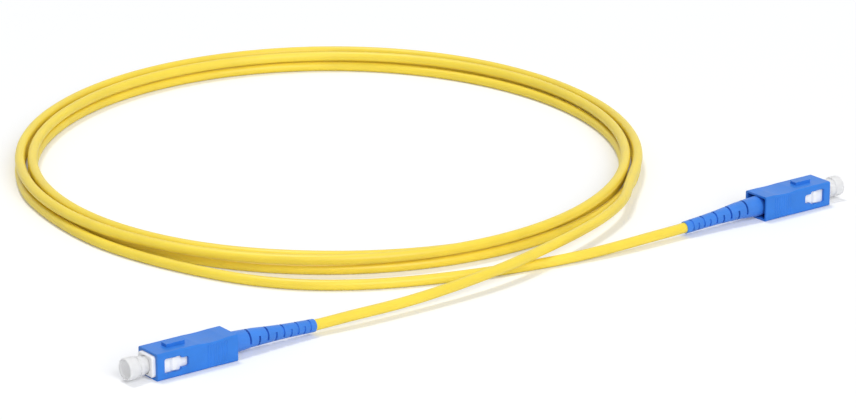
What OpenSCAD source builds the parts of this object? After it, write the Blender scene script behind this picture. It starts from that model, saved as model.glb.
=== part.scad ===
// Simplex fibre patch cord: a round jacketed cord, loosely coiled, with a
// push-pull plug on each end. Millimetres, +Z up, floor at z = 0.
// X runs along both plugs: plug A points to -X and plug B to +X.

/* [Cord] */
// Outer diameter of the jacket
cord_d = 3.0; // [2.8:0.1:3.0]
// Bore of the jacket, where the yarn and the buffered fibre lie
jacket_bore_d = 2.0; // [1.6:0.1:2.2]
// Diameter of the tight buffer round the fibre
buffer_d = 0.9; // [0.6:0.1:0.9]
// Diameter of the glass fibre
fibre_d = 0.125; // [0.12:0.005:0.13]

/* [Coil] */
// Centre of the coil, along the plugs
coil_x = 25; // [20:1:35]
// Centre of the coil, across the plugs
coil_y = 118.5; // [116:0.5:122]
// Radius of the outermost turn, along the coil's short axis
coil_short_r = 94; // [92:0.5:95]
// Radius of the outermost turn, along the coil's long axis
coil_long_r = 105.5; // [104:0.5:106]
// Angle of the coil's short axis from X
coil_turn = -37; // [-38:1:-36]
// Clear space between turns that lie side by side or on each other
turn_gap = 0.45; // [0.42:0.01:0.5]

/* [Plug placing] */
// Distance of each plug's front from the middle
plug_front_x = 118; // [116:1:122]
// Sideways offset of each plug's axis from the middle
plug_side_y = 1; // [0:0.5:2]

/* [Grip] */
// Length of the push-pull grip
grip_len = 25; // [24.5:0.1:25.5]
// Width of the grip
grip_w = 9.0; // [8.9:0.05:9.1]
// Height of the grip
grip_h = 7.4; // [7.35:0.05:7.5]
// Width of the key on the grip's top
key_w = 2.4; // [2:0.1:3]
// Height of the key above the grip
key_h = 0.9; // [0.6:0.1:1.0]
// Depth of the finger dishes in the grip's top and bottom
dish_depth = 0.25; // [0.2:0.05:0.4]
// Number of fine grooves on each side of the grip
groove_count = 8; // [5:1:9]

/* [Ferrule] */
// Diameter of the ceramic ferrule
ferrule_d = 2.5; // [2.4:0.05:2.55]
// Length of the ferrule
ferrule_len = 10.5; // [10:0.1:10.5]
// How far the ferrule stands ahead of the plug frame
ferrule_out = 2.0; // [1.8:0.1:2.2]

/* [Boot] */
// How far the boot reaches behind the grip
boot_reach = 27.3; // [26:0.1:28]
// Diameter of the boot where it leaves the grip
boot_big_d = 5.9; // [5.8:0.1:6.2]
// Diameter of the boot at its tip
boot_tip_d = 3.6; // [3.5:0.1:3.8]
// How far the boot's tail hangs down from level, in degrees
boot_droop = 3; // [1:0.5:3]
// Number of flex slits along the boot
slit_count = 9; // [6:1:9]
// Width of one flex slit
slit_w = 0.6; // [0.4:0.05:0.7]

/* [Dust cap] */
// Diameter of the dust cap's head
cap_head_d = 6.0; // [5.8:0.1:6.4]
// Length of the dust cap's head
cap_head_len = 3.0; // [2.6:0.1:3.6]

/* [Hidden] */
$fn = 48;
eps = 0.1;                       // overshoot of a cutter past a face

// Colours
jacket_yellow = [0.97, 0.83, 0.20];
shell_blue = [0.18, 0.45, 0.88];
boot_blue = [0.14, 0.40, 0.85];
frame_white = [0.95, 0.96, 0.96];
zirconia_white = [0.93, 0.92, 0.89];
nickel = [0.72, 0.72, 0.70];
spring_steel = [0.62, 0.64, 0.66];
crimp_copper = [0.80, 0.62, 0.42];
yarn_yellow = [0.90, 0.78, 0.32];
buffer_white = [0.94, 0.94, 0.90];
tube_clear = [0.86, 0.88, 0.86];
glass_clear = [0.80, 0.88, 0.92, 0.7];
cap_clear = [0.90, 0.93, 0.95, 0.6];

axis_z = grip_h / 2;             // height of a plug's axis above the floor
running = 0.1;                   // clearance at a stop
slide_play = 0.3;                // what the grip's cavity is wider than the frame
press_play = 0.02;               // what a bore is wider than the part glued in it

// ---- stations along a plug, measured rearward from the grip's front ----
frame_front = -1.0;              // the plug frame stands a little ahead
tip_x = frame_front - ferrule_out;
ferrule_rear = tip_x + ferrule_len;
frame_step = 12.0;               // the frame's shoulder, which stops the grip
frame_rear = 17.5;
frame_w = 6.8;
frame_h = 5.8;
frame_corner = 0.9;
tail_w = 6.0;                    // the frame's slimmer tail
tail_h = 5.2;
tail_corner = 0.5;
tab_slot_front = 13.0;           // the slots that the stop ring's tabs snap into
tab_slot_rear = 15.0;
tab_slot_h = 1.6;
sleeve_bore_d = 4.9;             // where an adapter's sleeve goes in
sleeve_bore_end = 3.2;
collar_front = 4.5;
collar_rear = 6.5;
chamber_d = 4.6;
guide_front = 8.6;
guide_d = 1.8;
barrel_rear = 10.0;              // rear end of the ferrule's flange
buffer_rear = 40.0;
grip_travel = 2.0;               // rearward pull of the grip
ferrule_travel = 1.0;            // how far the ferrule can be pushed back
stop_front = 11.4;               // face of the stop ring that the spring rests on
neck_front = 18.3;
neck_rear = 23.5;
neck_d = 3.2;
boot_front = 19.0;
boot_shoulder = neck_rear;       // where the boot widens, inside the grip
boot_bend = 32.0;                // the boot hangs down from here back
boot_tail = grip_len + boot_reach - boot_bend;
jacket_front = 25.0;
crimp_rear = 30.0;
cap_rear = 2.0;
cap_collar_rear = -2.15;         // clear of the frame when the ferrule is pushed back
cap_collar_front = -3.6;
cap_neck = -4.2;                 // rear face of the cap's head
cap_front = cap_neck - cap_head_len;

// ---- outlines ----
// Rectangle w by h with corners of radius r, each corner an arc of n steps
function round_box(w, h, r, n = 5) = [
    for (q = [0 : 3], i = [0 : n])
        let (a = 90 * q + 90 * i / n,
             cx = (q == 0 || q == 3 ? 1 : -1) * (w / 2 - r),
             cy = (q < 2 ? 1 : -1) * (h / 2 - r))
        [cx + r * cos(a), cy + r * sin(a)]
];

// A bar along X from x0 to x1 with a rounded section, width in Y, height in Z
module bar(x0, x1, w, h, r) {
    translate([x0, 0, 0])
        rotate([90, 0, 90])
            linear_extrude(height = x1 - x0)
                polygon(round_box(w, h, r));
}

// A body of revolution about X, from [x, radius] points
module turned(points) {
    rotate([90, 0, 90])
        rotate_extrude()
            polygon([for (p = points) [p[1], p[0]]]);
}

// A straight round rod along X
module rod(x0, x1, d) {
    translate([x0, 0, 0])
        rotate([0, 90, 0])
            cylinder(d = d, h = x1 - x0);
}

// One side of the plane that halves the boot's bend
module bend_side(behind) {
    reach = 2 * boot_tail;
    translate([boot_bend, 0, 0])
        rotate([0, boot_droop / 2, 0])
            translate([behind ? 0 : -reach, -reach / 2, -reach / 2])
                cube(reach);
}

// Two bodies made one at the boot's bend: the first lies along the plug's axis,
// and the second is drawn along X from the bend and hung down behind it
module bent() {
    intersection() {
        children(0);
        bend_side(false);
    }
    intersection() {
        translate([boot_bend, 0, 0])
            rotate([0, boot_droop, 0])
                children(1);
        bend_side(true);
    }
}

// A straight round tube along X
module pipe(x0, x1, outer_d, inner_d) {
    difference() {
        rod(x0, x1, outer_d);
        rod(x0 - eps, x1 + eps, inner_d);
    }
}

// A box given by its lowest and highest corners
module block(lo, hi) {
    translate(lo)
        cube(hi - lo);
}

// ---- swept tubes ----
function unit(v) = v / norm(v);
function tangent(path, i) =
    i == 0 ? unit(path[1] - path[0])
    : i == len(path) - 1 ? unit(path[i] - path[i - 1])
    : unit(unit(path[i + 1] - path[i]) + unit(path[i] - path[i - 1]));

// One ring of the tube round path point i, its first corner straight down
function ring(path, i, d, sides) =
    let (t = tangent(path, i),
         side = unit(cross(t, [0, 0, 1])),
         up = cross(side, t))
    [for (k = [0 : sides - 1])
        let (a = 360 * k / sides)
        path[i] + d / 2 * (sin(a) * side - cos(a) * up)];

module tube(path, d, sides) {
    n = len(path);
    points = [for (i = [0 : n - 1]) each ring(path, i, d, sides)];
    walls = [
        for (i = [0 : n - 2], k = [0 : sides - 1])
            let (k2 = (k + 1) % sides,
                 a = i * sides + k,
                 b = i * sides + k2,
                 c = a + sides,
                 e = b + sides)
            each [[a, b, e], [a, e, c]]
    ];
    caps = [
        for (k = [1 : sides - 2])
            each [[0, k + 1, k],
                  [(n - 1) * sides, (n - 1) * sides + k, (n - 1) * sides + k + 1]]
    ];
    polyhedron(points = points, faces = concat(walls, caps), convexity = 8);
}

// A smooth curve through the points, each span cut into steps
function curve_at(p0, p1, p2, p3, s) =
    0.5 * (2 * p1 + (p2 - p0) * s
           + (2 * p0 - 5 * p1 + 4 * p2 - p3) * s * s
           + (3 * p1 - p0 - 3 * p2 + p3) * s * s * s);
function smooth_path(p, steps) = concat(
    [for (i = [0 : len(p) - 2], j = [0 : steps - 1])
        curve_at(p[max(i - 1, 0)], p[i], p[i + 1], p[min(i + 2, len(p) - 1)], j / steps)],
    [p[len(p) - 1]]
);

// ---- the coil ----
// It winds anticlockwise seen from above. The first turn and a half lie on top,
// then the coil drops a layer at its near side and ends on the floor.
coil_start = -15;
coil_end = 1275;
coil_drop = 620;                 // where it starts to go down a layer
coil_drop_span = 80;
turn_step = 15;                  // 24 rings a turn
turn_pitch = cord_d + turn_gap;

// How far the turns lie inside the outermost ellipse, at angles along the coil
coil_insets = [
    [-15, 0], [0, 0.6], [30, 1.8], [50, 1.8], [90, -0.3], [135, -0.3],
    [180, 0.4], [225, 0.9], [270, 1.5], [300, 2], [330, 3], [345, 3.7],
    [360, 4.3], [390, 5.5], [405, 5.8], [450, 6.4], [495, 5.2],
    [540, 4.1], [585, 4.6], [615, 5], [645, 5.5], [660, 5.9], [675, 5.6],
    [690, 5.1], [705, 4.5], [720, 4.4], [750, 6.4], [770, 7.6], [790, 7.3],
    [810, 6.4], [840, 4.9], [870, 4.1], [900, 4.2], [945, 4.1], [990, 3.5],
    [1020, 2.6], [1050, 1.2], [1080, 0.7], [1125, 1.2], [1170, 0.6],
    [1215, 0.3], [1260, 0.4], [1275, 0.3],
];
function coil_inset(a) =
    (lookup(a - turn_step, coil_insets) + 2 * lookup(a, coil_insets)
     + lookup(a + turn_step, coil_insets)) / 4;
function ease(s) = let (t = min(1, max(0, s))) t * t * (3 - 2 * t);
function coil_height(a) =
    cord_d / 2 + turn_pitch * (1 - ease((a - coil_drop) / coil_drop_span));
function coil_point(a) =
    let (u = (coil_short_r - coil_inset(a)) * cos(a),
         v = (coil_long_r - coil_inset(a)) * sin(a))
    [coil_x + u * cos(coil_turn) - v * sin(coil_turn),
     coil_y + u * sin(coil_turn) + v * cos(coil_turn),
     coil_height(a)];
function coil_heading(a) = unit(coil_point(a + 1) - coil_point(a - 1));

coil_in = coil_point(coil_start);
coil_in_heading = coil_heading(coil_start + 1);
coil_out = coil_point(coil_end);
coil_out_heading = coil_heading(coil_end - 1);
coil_turns = [for (a = [coil_start : turn_step : coil_end]) coil_point(a)];
coil_path = concat(
    [coil_in - cord_d * coil_in_heading],
    coil_turns,
    [coil_out + cord_d * coil_out_heading]
);

// ---- the free stretches, from a boot to the coil and back ----
lead_a_route = [
    [-54, -2, 3.2], [-40, -2.4, 3.1], [-26, -2.2, 3.6], [-14, -1.6, 4.3],
    [-3, -0.5, 4.9], [7, 1.6, 5.2], [17, 4.6, 5.2], [28, 8.3, 5.1],
    [39, 12.4, 5], [49.6, 17.1, 5], [58, 21.9, 5], [66, 27.4, 5],
];
lead_b_route = [
    [-69.6, 133, 1.5], [-71.4, 124, 1.5], [-72.7, 114, 1.5], [-73.4, 104, 1.5],
    [-73.3, 95, 1.5], [-72.4, 86, 1.5], [-70.4, 76, 1.5], [-67.6, 66, 1.5],
    [-64, 56, 1.5], [-59.6, 46, 1.5], [-54, 37, 1.5], [-47, 29, 1.5],
    [-38, 22, 1.5], [-28, 16.4, 1.5], [-17, 12, 1.5], [-6, 8.6, 1.5],
    [4, 6.2, 1.5], [14, 4.2, 1.5], [24, 2.6, 1.6], [34, 1.4, 1.9],
    [44, 0.8, 2.3], [54, 0.9, 2.5],
];
boot_tip_x = plug_front_x - boot_bend - boot_tail * cos(boot_droop);
boot_tip_z = axis_z - boot_tail * sin(boot_droop);
boot_a_tip = [-boot_tip_x, -plug_side_y, boot_tip_z];
boot_b_tip = [boot_tip_x, plug_side_y, boot_tip_z];
lead_step = cord_d * [cos(boot_droop), 0, sin(boot_droop)];
lead_a_path = concat(
    [boot_a_tip],
    smooth_path(concat(
        [boot_a_tip + [lead_step.x, 0, -lead_step.z]],
        lead_a_route,
        [coil_in - 3 * cord_d * coil_in_heading]
    ), 2),
    [coil_in - 2 * cord_d * coil_in_heading, coil_in - cord_d * coil_in_heading]
);
lead_b_path = concat(
    [coil_out + cord_d * coil_out_heading, coil_out + 2 * cord_d * coil_out_heading],
    smooth_path(concat(
        [coil_out + 3 * cord_d * coil_out_heading],
        lead_b_route,
        [boot_b_tip - lead_step]
    ), 2),
    [boot_b_tip]
);

// ---- measures of the cord, printed ----
function path_len(p) = len(p) < 2 ? 0
    : [for (i = [0 : len(p) - 2]) norm(p[i + 1] - p[i])] * [for (i = [0 : len(p) - 2]) 1];
function near(p, q) = min([for (a = p, b = q) norm(a - b)]);
half_turn = 180 / turn_step;
coil_gap = min([
    for (i = [0 : len(coil_path) - 1], j = [i + half_turn : 1 : len(coil_path) - 1])
        norm(coil_path[i] - coil_path[j])
]) - cord_d;
coil_past_a = [for (i = [half_turn : len(coil_path) - 1]) coil_path[i]];
coil_before_b = [for (i = [0 : len(coil_path) - half_turn]) coil_path[i]];
echo(least_gap_in_coil = coil_gap);
echo(least_gap_lead_a_to_coil = near(lead_a_path, coil_past_a) - cord_d);
echo(least_gap_lead_b_to_coil = near(lead_b_path, coil_before_b) - cord_d);
echo(least_gap_lead_a_to_lead_b = near(lead_a_path, lead_b_path) - cord_d);
echo(cord_length = path_len(lead_a_path) + path_len(coil_path) + path_len(lead_b_path));

module lead_a() {
    color(jacket_yellow)
        tube(lead_a_path, cord_d, 8);
}

module coil() {
    color(jacket_yellow)
        tube(coil_path, cord_d, 6);
}

module lead_b() {
    color(jacket_yellow)
        tube(lead_b_path, cord_d, 8);
}

// ---- the two ends: a plug is drawn along X about its own axis ----
module end_a() {
    translate([-plug_front_x, -plug_side_y, axis_z])
        children();
}

module end_b() {
    rotate([0, 0, 180])
        end_a()
            children();
}

// ---- pieces of a plug ----
grip_corner = 0.6;
window_front = 2.2;
window_rear = 7.5;
window_step = 9.7;
window_h = 4.1;
window_step_h = 2.7;
window_cut = 0.35;               // slanted corners of a window
rib_rear = 13.3;                 // the rib inside the grip that the frame's shoulder stops
cavity_w = 7.7;                  // the grip's rear cavity, round the stop ring
cavity_h = 5.6;
cavity_corner = 0.5;
cavity_step = boot_shoulder - grip_travel - running;
pocket_h = boot_big_d + slide_play;
dish_front = 12.8;
dish_rear = 21.5;

// Outline of a latch window, in X and Z
function window_outline() =
    let (a = window_h / 2, b = window_step_h / 2, c = window_cut)
    [[window_front, -a + c], [window_front + c, -a], [window_rear - c, -a],
     [window_rear, -a + c], [window_rear, -b], [window_step - c, -b],
     [window_step, -b + c], [window_step, b - c], [window_step - c, b],
     [window_rear, b], [window_rear, a - c], [window_rear - c, a],
     [window_front + c, a], [window_front, a - c]];

module grip_dish() {
    half = (dish_rear - dish_front) / 2;
    dish_r = (half * half + dish_depth * dish_depth) / (2 * dish_depth);
    translate([dish_front + half, 0, grip_h / 2 - dish_depth + dish_r])
        rotate([90, 0, 0])
            cylinder(r = dish_r, h = grip_w + 2, center = true, $fn = 180);
}

module grip_grooves() {
    groove_first = 15.6;
    groove_pitch = 0.85;
    groove_w = 0.35;
    groove_depth = 0.15;
    groove_margin = 0.8;         // plain strip above and below the grooves
    for (i = [0 : groove_count - 1], side = [-1, 1])
        translate([groove_first + i * groove_pitch, side * grip_w / 2, 0])
            cube([groove_w, 2 * groove_depth, grip_h - 2 * groove_margin], center = true);
}

module grip_key() {
    key_front = 4.9;
    key_rear = 10.6;
    key_cut = 0.25;
    root = grip_h / 2 - 0.5;     // the key starts inside the grip's wall
    top = grip_h / 2 + key_h;
    translate([0, key_w / 2, 0])
        rotate([90, 0, 0])
            linear_extrude(height = key_w)
                polygon([[key_front, root], [key_front, top - key_cut],
                         [key_front + key_cut, top], [key_rear - key_cut, top],
                         [key_rear, top - key_cut], [key_rear, root]]);
}

module grip() {
    color(shell_blue)
        difference() {
            union() {
                bar(0, grip_len, grip_w, grip_h, grip_corner);
                grip_key();
            }
            bar(-eps, frame_step + running,
                frame_w + slide_play, frame_h + slide_play, frame_corner);
            bar(frame_step, rib_rear + eps,
                tail_w + slide_play, tail_h + slide_play, tail_corner);
            bar(rib_rear, cavity_step + eps, cavity_w, cavity_h, cavity_corner);
            bar(cavity_step, grip_len + eps, cavity_w, pocket_h, cavity_corner);
            translate([0, grip_w, 0])
                rotate([90, 0, 0])
                    linear_extrude(height = 2 * grip_w)
                        polygon(window_outline());
            grip_dish();
            mirror([0, 0, 1])
                grip_dish();
            grip_grooves();
        }
}

// The raised latch on each side of the frame, seen through a grip's window
module frame_latches() {
    latch_front = window_front + grip_travel + running;
    latch_h = 3.4;
    root = frame_w / 2 - eps;
    top = 4.0;
    for (side = [0, 1])
        mirror([0, side, 0])
            translate([0, 0, -latch_h / 2])
                linear_extrude(height = latch_h)
                    polygon([[latch_front, root], [latch_front + 0.6, top],
                             [latch_front + 1.7, top], [latch_front + 2.2, root]]);
}

module plug_frame() {
    cut = 0.45;                  // bevel round the frame's front edge
    color(frame_white)
        difference() {
            union() {
                intersection() {
                    bar(frame_front, frame_step, frame_w, frame_h, frame_corner);
                    translate([0, frame_w, 0])
                        rotate([90, 0, 0])
                            linear_extrude(height = 2 * frame_w)
                                polygon([[frame_front, cut - frame_h / 2],
                                         [frame_front + cut, -frame_h / 2],
                                         [frame_step, -frame_h / 2],
                                         [frame_step, frame_h / 2],
                                         [frame_front + cut, frame_h / 2],
                                         [frame_front, frame_h / 2 - cut]]);
                    translate([0, 0, -frame_h])
                        linear_extrude(height = 2 * frame_h)
                            polygon([[frame_front, cut - frame_w / 2],
                                     [frame_front + cut, -frame_w / 2],
                                     [frame_step, -frame_w / 2],
                                     [frame_step, frame_w / 2],
                                     [frame_front + cut, frame_w / 2],
                                     [frame_front, frame_w / 2 - cut]]);
                }
                bar(frame_step - eps, frame_rear, tail_w, tail_h, tail_corner);
                frame_latches();
            }
            rod(frame_front - eps, sleeve_bore_end, sleeve_bore_d);
            rod(sleeve_bore_end - eps, collar_front, ferrule_d + 2 * running);
            rod(collar_front - running, frame_rear + eps, chamber_d);
            block([tab_slot_front, -tail_w, -tab_slot_h / 2],
                  [tab_slot_rear, tail_w, tab_slot_h / 2]);
        }
}

module ferrule() {
    chamfer_r = 0.4;
    chamfer_len = 0.7;
    bore_r = fibre_d / 2 + press_play / 2;
    funnel_r = 0.5;              // the bore opens into a funnel at the rear
    funnel_len = 1.0;
    color(zirconia_white)
        turned([[tip_x, bore_r], [tip_x, ferrule_d / 2 - chamfer_r],
                [tip_x + chamfer_len, ferrule_d / 2], [ferrule_rear, ferrule_d / 2],
                [ferrule_rear, funnel_r], [ferrule_rear - funnel_len, bore_r]]);
}

module ferrule_flange() {
    collar_d = 4.2;
    barrel_d = 2.9;
    notch_w = 0.7;               // four notches keep the flange from turning
    notch_floor = 1.7;
    color(nickel)
        difference() {
            union() {
                rod(collar_front, collar_rear, collar_d);
                rod(collar_rear - eps, barrel_rear, barrel_d);
            }
            rod(collar_front - eps, ferrule_rear, ferrule_d + press_play);
            rod(ferrule_rear - eps, barrel_rear, buffer_d + running);
            rod(guide_front, barrel_rear + eps, guide_d + 2 * press_play);
            for (a = [0 : 90 : 270])
                rotate([a, 0, 0])
                    block([collar_front - eps, -notch_w / 2, notch_floor],
                          [collar_rear + eps, notch_w / 2, collar_d]);
        }
}

module fibre() {
    color(glass_clear)
        rod(tip_x, ferrule_rear + eps, fibre_d);
}

module guide_tube() {
    color(tube_clear)
        pipe(guide_front, frame_rear, guide_d, buffer_d + running);
}

module buffer() {
    color(buffer_white)
        rod(ferrule_rear + eps, buffer_rear, buffer_d);
}

spring_wire = 0.32;
spring_mean_r = 1.78;
spring_turns = 5.5;
spring_front = 6.6;
spring_rear = 11.3;

function spring_point(s) =
    let (run = spring_rear - spring_front - spring_wire,
         a = 360 * spring_turns * s)
    [spring_front + spring_wire / 2 + run * s,
     spring_mean_r * cos(a),
     spring_mean_r * sin(a)];

module spring() {
    steps = 12 * spring_turns;
    path = [for (i = [0 : steps]) spring_point(i / steps)];
    color(spring_steel)
        coil_tube(path, spring_wire, 6);
}

// A helix about X: each ring's first corner points away from that axis
module coil_tube(path, d, sides) {
    n = len(path);
    points = [
        for (i = [0 : n - 1])
            let (t = tangent(path, i),
                 out = unit([0, path[i][1], path[i][2]]),
                 across = unit(cross(t, out)),
                 away = cross(across, t))
            each [for (k = [0 : sides - 1])
                let (a = 360 * k / sides)
                path[i] + d / 2 * (cos(a) * away + sin(a) * across)]
    ];
    walls = [
        for (i = [0 : n - 2], k = [0 : sides - 1])
            let (k2 = (k + 1) % sides,
                 a = i * sides + k,
                 b = i * sides + k2)
            each [[a, b + sides, b], [a, a + sides, b + sides]]
    ];
    caps = [
        for (k = [1 : sides - 2])
            each [[0, k, k + 1],
                  [(n - 1) * sides, (n - 1) * sides + k + 1, (n - 1) * sides + k]]
    ];
    polyhedron(points = points, faces = concat(walls, caps), convexity = 8);
}

module stop_ring() {
    barrel_d = chamber_d - running;
    flange_d = 5.4;
    ridge = 0.1;                 // fine ridges grip the yarn on the neck
    ridge_pitch = 0.8;
    tab_h = 1.4;
    tab_root = 2.0;
    tab_top = 2.75;
    bore_d = 2.8;
    neck_bore_d = 2.2;
    bore_step = 14.0;
    color(nickel)
        difference() {
            union() {
                rod(stop_front, frame_rear + eps, barrel_d);
                rod(frame_rear, neck_front, flange_d);
                rod(neck_front - eps, neck_rear, neck_d);
                for (x = [neck_front + ridge_pitch / 2 : ridge_pitch : neck_rear - ridge_pitch / 2])
                    rod(x, x + ridge_pitch / 2, neck_d + 2 * ridge);
                for (side = [0, 1])
                    mirror([0, side, 0])
                        translate([0, 0, -tab_h / 2])
                            linear_extrude(height = tab_h)
                                polygon([[tab_slot_front + running, tab_root],
                                         [tab_slot_rear - 3 * running, tab_top],
                                         [tab_slot_rear - running, tab_top],
                                         [tab_slot_rear - running, tab_root]]);
            }
            rod(stop_front - eps, bore_step, bore_d);
            rod(bore_step - eps, neck_rear + eps, neck_bore_d);
        }
}

yarn_d = 3.8;
module aramid() {
    yarn_bore_d = neck_d + 0.24;
    color(yarn_yellow)
        pipe(neck_front + running, neck_rear - running, yarn_d, yarn_bore_d);
}

// Wide over the yarn on the neck, narrow over the jacket's end
sleeve_wide_r = 2.2;
module crimp_sleeve() {
    front = neck_front + running;
    waist = neck_rear + 0.8;     // where the wide part starts to draw in
    narrow_r = 1.8;
    wide_bore_r = yarn_d / 2 + press_play;
    narrow_bore_r = cord_d / 2 + press_play / 2;
    color(crimp_copper)
        turned([[front, wide_bore_r], [front, sleeve_wide_r], [waist, sleeve_wide_r],
                [jacket_front, narrow_r], [crimp_rear, narrow_r],
                [crimp_rear, narrow_bore_r], [jacket_front - running, narrow_bore_r],
                [waist - running, wide_bore_r]]);
}

bend_lap = 1.0;                  // both bodies run past the bend before they are cut there
bend_run = 0.5;                  // the boot is as thick through the bend, that far either way

module jacket_end() {
    color(jacket_yellow)
        bent() {
            pipe(jacket_front, boot_bend + bend_lap, cord_d, jacket_bore_d);
            pipe(-bend_lap, boot_tail, cord_d, jacket_bore_d);
        }
}

slit_first = 30.4;
slit_pitch = 3.0;                // from the first slit to the second
slit_pitch_loss = 0.15;          // and each further one that much less
slit_floor_d = 3.3;              // the boot's skin is left whole under a slit
slit_past = 0.9;                 // how far a slit reaches past the boot's axis

// The boot's outside, as [x, radius]: the front part, and the tail from the bend
boot_front_r = 2.6;              // held in the grip's cavity
boot_neck_r = 2.65;              // at the first slit
boot_bend_r = 2.53;
boot_front_outline = [
    [boot_front, 0], [boot_front, boot_front_r], [boot_shoulder, boot_front_r],
    [boot_shoulder, boot_big_d / 2], [grip_len + 0.5, boot_big_d / 2],
    [slit_first, boot_neck_r], [boot_bend - bend_run, boot_bend_r],
    [boot_bend + bend_lap, boot_bend_r], [boot_bend + bend_lap, 0],
];
boot_tail_outline = [
    [-bend_lap, 0], [-bend_lap, boot_bend_r], [bend_run, boot_bend_r],
    [3, 2.35], [8, 2.05], [13, boot_tip_d / 2 + 0.08],
    [boot_tail - 0.3, boot_tip_d / 2], [boot_tail, boot_tip_d / 2 - 0.15],
    [boot_tail, 0],
];

// One flex slit: it cuts into the boot from above, past the axis
module boot_slit() {
    difference() {
        translate([-slit_w / 2, -boot_big_d, -slit_past])
            cube([slit_w, 2 * boot_big_d, boot_big_d]);
        rod(-slit_w, slit_w, slit_floor_d);
    }
}

// The slits come from above and below by turns, and closer towards the tip
module boot_slits(first, last) {
    for (i = [first : last])
        translate([slit_first + i * slit_pitch - i * (i - 1) / 2 * slit_pitch_loss, 0, 0])
            rotate([180 * (i % 2), 0, 0])
                boot_slit();
}

module boot() {
    sleeve_room_d = 2 * sleeve_wide_r + 0.04;
    jacket_room_d = cord_d + running;
    color(boot_blue)
        bent() {
            difference() {
                turned(boot_front_outline);
                rod(boot_front - eps, crimp_rear + 0.2, sleeve_room_d);
                rod(crimp_rear, boot_bend + 2 * bend_lap, jacket_room_d);
                boot_slits(0, 0);
            }
            difference() {
                turned(boot_tail_outline);
                rod(-2 * bend_lap, boot_tail + eps, jacket_room_d);
                translate([-boot_bend, 0, 0])
                    boot_slits(1, slit_count - 1);
            }
        }
}

// A head to pull it by, a groove, a collar ahead of the frame, and a stem
// in the frame's bore round the ferrule
module dust_cap() {
    head_r = cap_head_d / 2;
    groove_r = 2.5;
    collar_r = 2.7;
    stem_r = 2.3;
    bore_r = ferrule_d / 2 + 0.03;
    bore_end = tip_x - 1.0;
    dimple_r = 2.2;
    dimple_depth = 0.5;
    cut = 0.2;                   // chamfer of the rims
    color(cap_clear)
        turned([[cap_front + dimple_depth, 0], [cap_front + dimple_depth, dimple_r],
                [cap_front, dimple_r + cut], [cap_front, head_r - cut],
                [cap_front + cut, head_r], [cap_neck - cut, head_r],
                [cap_neck, head_r - cut], [cap_neck, groove_r],
                [cap_collar_front, groove_r], [cap_collar_front, collar_r],
                [cap_collar_rear, collar_r], [cap_collar_rear, stem_r],
                [cap_rear - cut, stem_r], [cap_rear, stem_r - cut],
                [cap_rear, bore_r], [bore_end, bore_r], [bore_end, 0]]);
}

module grip_a() { end_a() grip(); }
module plug_frame_a() { end_a() plug_frame(); }
module ferrule_a() { end_a() ferrule(); }
module ferrule_flange_a() { end_a() ferrule_flange(); }
module fibre_a() { end_a() fibre(); }
module guide_tube_a() { end_a() guide_tube(); }
module buffer_a() { end_a() buffer(); }
module spring_a() { end_a() spring(); }
module stop_ring_a() { end_a() stop_ring(); }
module crimp_sleeve_a() { end_a() crimp_sleeve(); }
module aramid_a() { end_a() aramid(); }
module boot_a() { end_a() boot(); }
module jacket_end_a() { end_a() jacket_end(); }
module dust_cap_a() { end_a() dust_cap(); }

module grip_b() { end_b() grip(); }
module plug_frame_b() { end_b() plug_frame(); }
module ferrule_b() { end_b() ferrule(); }
module ferrule_flange_b() { end_b() ferrule_flange(); }
module fibre_b() { end_b() fibre(); }
module guide_tube_b() { end_b() guide_tube(); }
module buffer_b() { end_b() buffer(); }
module spring_b() { end_b() spring(); }
module stop_ring_b() { end_b() stop_ring(); }
module crimp_sleeve_b() { end_b() crimp_sleeve(); }
module aramid_b() { end_b() aramid(); }
module boot_b() { end_b() boot(); }
module jacket_end_b() { end_b() jacket_end(); }
module dust_cap_b() { end_b() dust_cap(); }

lead_a();
coil();
lead_b();
grip_a();
plug_frame_a();
ferrule_a();
ferrule_flange_a();
fibre_a();
guide_tube_a();
buffer_a();
spring_a();
stop_ring_a();
crimp_sleeve_a();
aramid_a();
boot_a();
jacket_end_a();
dust_cap_a();
grip_b();
plug_frame_b();
ferrule_b();
ferrule_flange_b();
fibre_b();
guide_tube_b();
buffer_b();
spring_b();
stop_ring_b();
crimp_sleeve_b();
aramid_b();
boot_b();
jacket_end_b();
dust_cap_b();
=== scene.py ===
"""Simplex fibre patch cord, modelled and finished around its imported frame.

Each piece of a plug is modelled in millimetres on the plug's own axes: x = 0 at
the grip's front and x running rearward, y across and z up from the plug's axis.
place() then brings it to both ends of the cord, in metres, in the row frame.
The cord itself is modelled in metres, straight in the row frame.
"""

import math

import bmesh
import bpy
from bpy.props import FloatProperty, FloatVectorProperty, IntProperty, PointerProperty
from bpy.types import Operator, Panel, PropertyGroup
from mathutils import Matrix, Vector


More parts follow.
